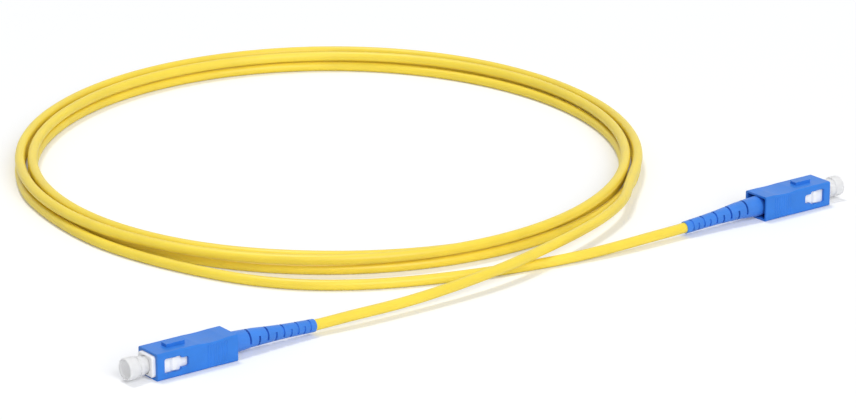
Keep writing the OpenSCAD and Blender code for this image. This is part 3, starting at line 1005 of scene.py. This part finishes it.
def window_outline():
    """A latch window: a tall opening with a lower step behind it."""
    half, low, cut = 2.05, 1.35, 0.35
    upper = [
        (WINDOW_STEP, low - cut),
        (WINDOW_STEP - cut, low),
        (WINDOW_REAR, low),
        (WINDOW_REAR, half - cut),
        (WINDOW_REAR - cut, half),
        (WINDOW_FRONT + cut, half),
        (WINDOW_FRONT, half - cut),
    ]
    return upper + [(x, -z) for x, z in reversed(upper)]


def dish_outline(height, side):
    """A finger dish's section: a shallow arc that rises past the grip's face."""
    steps = 16
    half = (DISH_REAR - DISH_FRONT) / 2
    radius = (half**2 + DISH_DEPTH**2) / (2 * DISH_DEPTH)
    reach = math.asin(half / radius)
    arc = []
    for i in range(steps + 1):
        a = reach * (2 * i / steps - 1)
        x = DISH_FRONT + half + radius * math.sin(a)
        z = height / 2 - DISH_DEPTH + radius * (1 - math.cos(a))
        arc.append((x, side * z))
    above = side * (height / 2 + PAST)
    return [*arc, (DISH_REAR, above), (DISH_FRONT, above)]


def grip_shape(settings):
    """The push-pull grip: a square sleeve with key, windows, dishes and grooves."""
    lo, hi = span("grip")
    length, width, height = hi.x, hi.y - lo.y, -2 * lo.z
    corner = 0.6
    key_front, key_rear, key_half_w, key_root = 4.9, 10.6, 1.2, 0.5
    neck_rear, room_step = 13.4, 21.4
    room_w, room_h, mouth_h, room_corner = 7.7, 5.6, 6.2, 0.5
    key = block(
        (key_front, -key_half_w, height / 2 - key_root), (key_rear, key_half_w, hi.z)
    )
    nose_w, nose_h = FRAME_W + SLIDE_PLAY, FRAME_H + SLIDE_PLAY
    neck_w, neck_h = TAIL_W + SLIDE_PLAY, TAIL_H + SLIDE_PLAY
    shell = carved(
        combined(bar(0, length, width, height, corner), key, "UNION"),
        bar(-PAST, FRAME_STEP + LAP, nose_w, nose_h, FRAME_CORNER),
        bar(FRAME_STEP, neck_rear, neck_w, neck_h, TAIL_CORNER),
        bar(neck_rear - LAP, room_step + LAP, room_w, room_h, room_corner),
        bar(room_step, length + PAST, room_w, mouth_h, room_corner),
        plate(window_outline(), -width, width, "Y"),
        plate(dish_outline(height, 1), -width, width, "Y"),
        plate(dish_outline(height, -1), -width, width, "Y"),
    )
    near = 0.1

    def outside(middle):
        within_ends = near < middle.x < length - near
        within_w = abs(middle.y) < room_w / 2 + near / 2
        return not (within_ends and within_w and abs(middle.z) < mouth_h / 2 + near)

    soften(shell, settings.edge / MM, 20, outside)
    first, pitch, radius, depth, margin, end_reach = 15.6, 0.85, 0.28, 0.12, 0.7, 0.25
    half = height / 2 - margin
    ends = ((-half, 0, 0), (-half, radius, end_reach))
    section = rounded([*ends, (half, radius, end_reach), (half, 0, 0)])
    grooves = []
    for i in range(settings.grooves):
        for side in (-1, 1):
            groove = turned(section, 24)
            turn_about(groove, "Y", TURN / 4)
            where = (first + i * pitch, side * (width / 2 + radius - depth), 0)
            bmesh.ops.translate(groove, verts=groove.verts[:], vec=where)
            grooves.append(groove)
    return carved(shell, together(grooves))


def plug_frame_shape():
    """The inner plug frame: a square nose with latches, and a slimmer tail."""
    lo, hi = span("plug_frame")
    nose = bar(lo.x, FRAME_STEP, FRAME_W, FRAME_H, FRAME_CORNER)
    nose_round = 0.45
    front_edges = [
        edge for edge in nose.edges if all(v.co.x < lo.x + 0.01 for v in edge.verts)
    ]
    round_edges(nose, front_edges, nose_round, 3)
    tail = bar(FRAME_STEP - LAP, hi.x, TAIL_W, TAIL_H, TAIL_CORNER)
    solid = combined(nose, tail, "UNION")
    latch_front = WINDOW_FRONT + GRIP_TRAVEL + RUNNING
    ramp, flat_end, latch_len, latch_half_h = 0.6, 1.7, 2.2, 1.7
    root, top = FRAME_W / 2 - LAP, hi.y
    for side in (-1, 1):
        latch = [
            (latch_front, side * root),
            (latch_front + ramp, side * top),
            (latch_front + flat_end, side * top),
            (latch_front + latch_len, side * root),
        ]
        solid = combined(solid, plate(latch, -latch_half_h, latch_half_h), "UNION")
    mouth_r, throat_r, spring_room_r = 2.45, 1.35, 2.3
    slot_front, slot_rear, slot_half_h = 13, 15, 0.8
    solid = carved(
        solid,
        rod(lo.x - PAST, SLEEVE_BORE_END, mouth_r),
        rod(SLEEVE_BORE_END - LAP, COLLAR_FRONT, throat_r),
        rod(COLLAR_FRONT - LAP, hi.x + PAST, spring_room_r),
        block((slot_front, -TAIL_W, -slot_half_h), (slot_rear, TAIL_W, slot_half_h)),
    )

    # The mouth's rim and the outer edges, but not the tail's hidden end.
    edge_round, rim_r, tail_end = 0.08, mouth_r - 0.03, slot_rear + 2

    def on_outside(middle):
        return math.hypot(middle.y, middle.z) > rim_r and middle.x < tail_end

    soften(solid, edge_round, 25, on_outside, 2)
    return solid


def boot_shape(settings):
    """The flexible boot: a tapered sleeve slit from above and below by turns."""
    lo, hi = span("boot")
    big_r, tip_r, tip_x = hi.z, 1.8, BOOT_BEND + BOOT_TAIL
    shoulder, leaves_grip = 23.5, 25.5
    first, pitch, pitch_loss = 30.4, 3.0, 0.15
    slit_w, past_axis, floor_r, rim_round = 0.6, 0.9, 1.57, 0.09
    inner_r, bend_r = 2.6, 2.53
    sleeve_r, sleeve_end, cord_r = 2.22, 30.03, 1.52
    taper = [(35, 2.35, 2.0), (40, 2.05, 2.0), (45, 1.88, 2.0), (tip_x, tip_r, 0.2)]
    section = [
        (lo.x, sleeve_r, 0),
        (lo.x, inner_r, 0.2),
        (shoulder, inner_r, 0),
        (shoulder, big_r, 0.25),
        (leaves_grip, big_r, 1.5),
        (first, 2.65, 0.4),
        (BOOT_BEND - 0.5, bend_r, 0.3),
        (BOOT_BEND + 0.5, bend_r, 0.3),
        *taper,
        (tip_x, cord_r, 0),
        (sleeve_end, cord_r, 0),
        (sleeve_end, sleeve_r, 0),
        (lo.x, sleeve_r, 0),
    ]
    slits = []
    for i in range(settings.slits):
        x = first + i * pitch - i * (i - 1) / 2 * pitch_loss
        side = -1 if i % 2 else 1
        low, high = sorted((-side * past_axis, side * 2 * big_r))
        front, rear = x - slit_w / 2, x + slit_w / 2
        slits.append(block((front, -2 * big_r, low), (rear, 2 * big_r, high)))
    cutter = carved(together(slits), rod(lo.x, tip_x + PAST, floor_r))
    sleeve = carved(turned(rounded(section, 6), 96), cutter)

    def slit_rim(middle):
        outer = math.hypot(middle.y, middle.z) > floor_r + LAP
        return outer and first - PAST < middle.x < tip_x - slit_w

    soften(sleeve, rim_round, 60, slit_rim)
    for vert in sleeve.verts:
        if vert.co.x > BOOT_BEND:
            vert.co = drooped(vert.co.x - BOOT_BEND, vert.co.y, vert.co.z)
    return sleeve


def dust_cap_shape():
    """The dust cap: a dished head, a groove, a collar and a stem on the ferrule."""
    lo, hi = span("dust_cap")
    head_r, groove_r, collar_r, stem_r = hi.z, 2.5, 2.7, 2.3
    bore_r, dimple_r = 1.28, 2.2
    head_rear, collar_front, collar_rear = -4.2, -3.6, -2.15
    dimple_depth, bore_end = 0.5, -4.0
    section = [
        (lo.x + dimple_depth, 0, 0),
        (lo.x + dimple_depth, dimple_r, 0.3),
        (lo.x, dimple_r + 0.3, 0.15),
        (lo.x, head_r, 0.4),
        (head_rear, head_r, 0.3),
        (head_rear, groove_r, 0.12),
        (collar_front, groove_r, 0.06),
        (collar_front, collar_r, 0.08),
        (collar_rear, collar_r, 0.3),
        (collar_rear, stem_r, 0.1),
        (hi.x, stem_r, 0.2),
        (hi.x, bore_r, 0.1),
        (bore_end, bore_r, 0.1),
        (bore_end, 0, 0),
    ]
    return turned(rounded(section, 5), 96)


def ferrule_shape():
    """The ceramic ferrule, with a chamfered and slightly domed end face."""
    lo, hi = span("ferrule")
    radius, bore_r, funnel_r, funnel_len = hi.z, 0.073, 0.5, 1.0
    chamfer_r, chamfer_len, dome, dome_share = 0.4, 0.7, 0.03, 0.6
    face_r = radius - chamfer_r
    section = [
        (lo.x + dome / 2, bore_r, 0),
        (lo.x + dome / 2, face_r * dome_share, 0.2),
        (lo.x + dome, face_r, 0.06),
        (lo.x + chamfer_len, radius, 0.15),
        (hi.x, radius, 0.1),
        (hi.x, funnel_r, 0),
        (hi.x - funnel_len, bore_r, 0),
        (lo.x + dome / 2, bore_r, 0),
    ]
    return turned(rounded(section))


def flange_shape():
    """The metal flange behind the ferrule, with four notches in its collar."""
    lo, hi = span("ferrule_flange")
    collar_r, barrel_r, press_r, guide_r, hole_r = 2.1, 1.45, 1.26, 0.92, 0.5
    collar_rear, ferrule_rear, guide_front = 6.5, 7.5, 8.6
    section = [
        (lo.x, press_r, 0),
        (lo.x, collar_r, 0.12),
        (collar_rear, collar_r, 0.12),
        (collar_rear, barrel_r, 0.1),
        (hi.x, barrel_r, 0.12),
        (hi.x, guide_r, 0),
        (guide_front, guide_r, 0),
        (guide_front, hole_r, 0),
        (ferrule_rear, hole_r, 0),
        (ferrule_rear, press_r, 0),
        (lo.x, press_r, 0),
    ]
    notch_half_w, notch_floor = 0.35, 1.7
    notches = []
    for i in range(4):
        notch = block(
            (lo.x - PAST, -notch_half_w, notch_floor),
            (collar_rear + LAP / 2, notch_half_w, collar_r + PAST),
        )
        turn_about(notch, "X", i * TURN / 4)
        notches.append(notch)
    return carved(turned(rounded(section)), together(notches))


def spring_shape():
    """The ferrule's spring: drawn wire with its end turns closed."""
    lo, hi = span("spring")
    wire = 0.32
    mean_r = (hi.z - lo.z - wire) / 2
    turns, steps_per_turn, closed_share, closed_rise = 5.5, 48, 0.1, 0.12
    count = round(turns * steps_per_turn)
    run = hi.x - lo.x - wire
    points = []
    for i in range(count + 1):
        share = i / count
        inner = min(1, max(0, (share - closed_share) / (1 - 2 * closed_share)))
        x = lo.x + wire / 2 + run * (closed_rise * share + (1 - closed_rise) * inner)
        a = TURN * turns * share
        points.append((x, mean_r * math.cos(a), mean_r * math.sin(a)))
    mesh = tube(points, wire, 3, "wire")
    bm = bmesh.new()
    bm.from_mesh(mesh)
    bpy.data.meshes.remove(mesh)
    return closed(bm)


# ---------------------------------------------------------------- stage


def add_camera(settings):
    """The camera, at its distance from the target and facing it."""
    a, e = settings.azimuth, settings.elevation
    back = Vector((math.sin(a) * math.cos(e), -math.cos(a) * math.cos(e), math.sin(e)))
    data = bpy.data.cameras.new("camera")
    data.lens = settings.lens
    data.sensor_width = 36
    data.clip_start, data.clip_end = 0.05, 50
    camera = add_object("camera", data)
    camera.location = Vector(settings.target) + back * settings.distance
    camera.rotation_euler = (-back).to_track_quat("-Z", "Y").to_euler()
    bpy.context.scene.camera = camera


def add_floor(settings):
    """The plain paper floor, square and wider than the view."""
    bm = bmesh.new()
    half = settings.floor_size / 2
    bmesh.ops.create_grid(bm, x_segments=4, y_segments=4, size=half)
    mesh = as_mesh(bm, "floor")
    mesh.materials.append(floor_material())
    floor = add_object("floor", mesh)


def add_sky(settings):
    """Even light from all round, seen as plain white by the camera and in mirrors."""
    world = bpy.data.worlds.new("studio")
    bpy.context.scene.world = world
    tree = empty_tree(world)
    light, seen = (
        add_node(tree, "Background", {"Color": linear("#FFFFFF"), "Strength": level})
        for level in (settings.sky_level, 1.0)
    )
    ray = add_node(tree, "LightPath")
    direct = ray.outputs["Is Camera Ray"]
    for kind in ("Is Glossy Ray", "Is Transmission Ray"):
        either = {0: direct, 1: ray.outputs[kind]}
        more = add_node(tree, "Math", {"operation": "MAXIMUM"}, either)
        direct = more.outputs[0]
    mix = add_node(
        tree, "MixShader", links={0: direct, 1: light.outputs[0], 2: seen.outputs[0]}
    )
    add_node(tree, "OutputWorld", links={"Surface": mix.outputs[0]})


def add_lamps(settings):
    """Two soft round lamps; each one's power gives the floor at aim its level."""
    aim = Vector((0.02, 0.07, 0.0))
    lamps = (
        ("front_lamp", (-0.9, -4.2, 2.9), 3.6, settings.front_level),
        ("top_lamp", (0.0, 1.3, 4.6), 1.2, settings.top_level),
    )
    for name, where, size, level in lamps:
        reach = Vector(where) - aim
        facing = reach.normalized().z
        data = bpy.data.lights.new(name, "AREA")
        data.shape = "DISK"
        data.size = size
        data.energy = level * math.pi**2 * reach.length_squared / facing
        lamp = add_object(name, data)
        lamp.location = where
        lamp.rotation_euler = reach.to_track_quat("Z", "Y").to_euler()


# ---------------------------------------------------------------- operators


class PATCHCORD_OT_stage(Operator):
    """Sets up the camera, the floor and the studio light"""

    bl_idname = "patchcord.stage"
    bl_label = "Stage"

    def execute(self, context):
        settings = context.scene.patchcord_stage
        context.scene.view_settings.view_transform = "Standard"
        add_camera(settings)
        add_floor(settings)
        add_sky(settings)
        add_lamps(settings)
        return {"FINISHED"}


class PATCHCORD_OT_jacket(Operator):
    """Lays the jacketed cord: lead, coil and lead as one tube"""

    bl_idname = "patchcord.jacket"
    bl_label = "Jacket"

    def execute(self, context):
        settings = context.scene.patchcord_jacket
        line = cord_line(settings)
        mesh = tube(line, settings.diameter, 6, "jacket")
        shade(mesh)
        material = jacket_material(settings.colour, settings.diameter)
        mesh.materials.append(material)
        jacket = add_object("jacket", mesh)
        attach(jacket, "cord")
        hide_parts("lead_a", "coil", "lead_b")
        carry("jacket_end", material)
        return {"FINISHED"}


class PATCHCORD_OT_grips(Operator):
    """Moulds the push-pull grip of each plug"""

    bl_idname = "patchcord.grips"
    bl_label = "Grips"

    def execute(self, context):
        settings = context.scene.patchcord_plug
        shape = grip_shape(settings)
        material = grip_material(settings.grip_colour)
        place(shape, material, "grip_shell", "grip", "grip_{end}", "grip_shell")
        return {"FINISHED"}


class PATCHCORD_OT_plug_frames(Operator):
    """Moulds the white inner frame of each plug"""

    bl_idname = "patchcord.plug_frames"
    bl_label = "Plug frames"

    def execute(self, context):
        shape, material = plug_frame_shape(), frame_material()
        place(shape, material, "inner_frame", "plug_frame", "cord", "frame_plastic")
        return {"FINISHED"}


class PATCHCORD_OT_boots(Operator):
    """Moulds the slit boot behind each plug"""

    bl_idname = "patchcord.boots"
    bl_label = "Boots"

    def execute(self, context):
        settings = context.scene.patchcord_plug
        shape = boot_shape(settings)
        material = boot_material(settings.boot_colour)
        place(shape, material, "flex_boot", "boot", "cord", "boot_rubber")
        return {"FINISHED"}


class PATCHCORD_OT_dust_caps(Operator):
    """Moulds the see-through dust cap of each plug"""

    bl_idname = "patchcord.dust_caps"
    bl_label = "Dust caps"

    def execute(self, context):
        shape, material = dust_cap_shape(), cap_material()
        names = ("cap_shell", "dust_cap", "dust_cap_{end}", "cap_plastic")
        place(shape, material, *names, flat_faces=False)
        return {"FINISHED"}


class PATCHCORD_OT_ferrules(Operator):
    """Makes each ferrule and the flange that holds it"""

    bl_idname = "patchcord.ferrules"
    bl_label = "Ferrules"

    def execute(self, context):
        shape, material = ferrule_shape(), ceramic_material()
        names = ("ceramic_ferrule", "ferrule", "ferrule_{end}", "zirconia")
        place(shape, material, *names, flat_faces=False)
        shape, material = flange_shape(), nickel_material()
        names = ("flange_collar", "ferrule_flange", "ferrule_{end}", "nickel")
        place(shape, material, *names)
        return {"FINISHED"}


class PATCHCORD_OT_springs(Operator):
    """Winds the spring behind each ferrule"""

    bl_idname = "patchcord.springs"
    bl_label = "Springs"

    def execute(self, context):
        shape, material = spring_shape(), spring_material()
        names = ("wire_spring", "spring", "cord", "spring_steel")
        springs = place(shape, material, *names, flat_faces=False)
        for end, spring in zip(ENDS, springs):
            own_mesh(spring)
        return {"FINISHED"}


class PATCHCORD_OT_inner_parts(Operator):
    """Gives the pieces inside each plug their materials"""

    bl_idname = "patchcord.inner_parts"
    bl_label = "Inner parts"

    def execute(self, context):
        carry("stop_ring", nickel_material())
        carry("crimp_sleeve", sleeve_material())
        carry("aramid", yarn_material())
        carry("guide_tube", guide_material())
        carry("buffer", buffer_material())
        carry("fibre", fibre_material())
        return {"FINISHED"}


class PATCHCORD_PT_panel(Panel):
    """Lists the patch cord's settings and steps"""

    bl_idname = "PATCHCORD_PT_panel"
    bl_label = "Patch Cord"
    bl_space_type = "VIEW_3D"
    bl_region_type = "UI"
    bl_category = "Patch Cord"

    def draw(self, context):
        layout = self.layout
        for group in ("patchcord_stage", "patchcord_jacket", "patchcord_plug"):
            box = layout.box()
            settings = getattr(context.scene, group)
            for name in settings.__annotations__:
                box.prop(settings, name)
        for step in STEPS:
            layout.operator(step.bl_idname)


STEPS = (
    PATCHCORD_OT_stage,
    PATCHCORD_OT_jacket,
    PATCHCORD_OT_grips,
    PATCHCORD_OT_plug_frames,
    PATCHCORD_OT_boots,
    PATCHCORD_OT_dust_caps,
    PATCHCORD_OT_ferrules,
    PATCHCORD_OT_springs,
    PATCHCORD_OT_inner_parts,
)
CLASSES = (JacketSettings, PlugSettings, StageSettings, *STEPS, PATCHCORD_PT_panel)


def register():
    """Adds the settings, the operators and the panel to Blender."""
    for cls in CLASSES:
        bpy.utils.register_class(cls)
    bpy.types.Scene.patchcord_jacket = PointerProperty(type=JacketSettings)
    bpy.types.Scene.patchcord_plug = PointerProperty(type=PlugSettings)
    bpy.types.Scene.patchcord_stage = PointerProperty(type=StageSettings)


def unregister():
    """Takes them out again."""
    del bpy.types.Scene.patchcord_stage
    del bpy.types.Scene.patchcord_plug
    del bpy.types.Scene.patchcord_jacket
    for cls in reversed(CLASSES):
        bpy.utils.unregister_class(cls)


def main():
    """Builds the stage and every piece in order."""
    register()
    bpy.ops.patchcord.stage()
    bpy.ops.patchcord.jacket()
    bpy.ops.patchcord.grips()
    bpy.ops.patchcord.plug_frames()
    bpy.ops.patchcord.boots()
    bpy.ops.patchcord.dust_caps()
    bpy.ops.patchcord.ferrules()
    bpy.ops.patchcord.springs()
    bpy.ops.patchcord.inner_parts()


if __name__ == "__main__":
    main()
